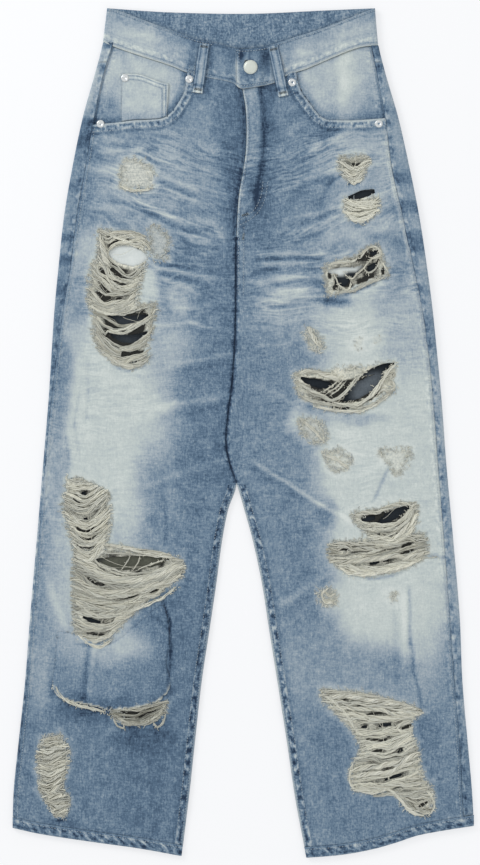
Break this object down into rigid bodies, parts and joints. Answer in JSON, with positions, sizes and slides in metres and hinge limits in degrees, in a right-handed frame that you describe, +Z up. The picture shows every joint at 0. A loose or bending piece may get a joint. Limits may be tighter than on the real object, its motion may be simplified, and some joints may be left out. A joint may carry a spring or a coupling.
{
  "type": "ripped jeans",
  "caption": "High-waisted wide straight jeans in washed denim, laid flat on their back, with worn rips crossed by threads, a frayed knee patch, pocket openings, belt loops and a shank button.",
  "frame": {"origin": "middle of the garment's bounding box, on the surface that it lies on", "axes": "+Y towards the waist along the garment's length, +X towards the wearer's left, +Z up out of the front"},
  "size_m": [0.5542, 1.02, 0.0126],
  "materials": {
    "washed_denim": "stone-washed mid-blue cotton denim with bleached fades and frayed ecru threads",
    "faded_denim": "pale faded denim of the pocket facings and coin pocket",
    "pocket_cotton": "plain off-white pocket bag cotton",
    "pale_metal": "pale satin metal of the button and the rivets",
    "zip_metal": "closed brass zip on its cotton tape, hidden by the fly"
  },
  "bodies": {
    "root": {"back_leg_left": "washed_denim", "back_leg_right": "washed_denim", "back_pocket_left": "washed_denim", "back_pocket_right": "washed_denim", "back_yoke_left": "washed_denim", "back_yoke_right": "washed_denim", "belt_loop_back_centre": "washed_denim", "belt_loop_back_left": "washed_denim", "belt_loop_back_right": "washed_denim", "belt_loop_front_left": "washed_denim", "belt_loop_front_right": "washed_denim", "button": "pale_metal", "coin_pocket": "faded_denim", "front_leg_left": "washed_denim", "front_leg_right": "washed_denim", "hem_left": "washed_denim", "hem_right": "washed_denim", "knee_patch": "washed_denim", "pocket_bag_left": "pocket_cotton", "pocket_bag_right": "pocket_cotton", "pocket_facing_left": "faded_denim", "pocket_facing_right": "faded_denim", "rivet_coin": "pale_metal", "rivet_left_mouth": "pale_metal", "rivet_left_side": "pale_metal", "rivet_right_mouth": "pale_metal", "rivet_right_side": "pale_metal", "waistband": "washed_denim", "zip": "zip_metal"}
  },
  "joints": []
}
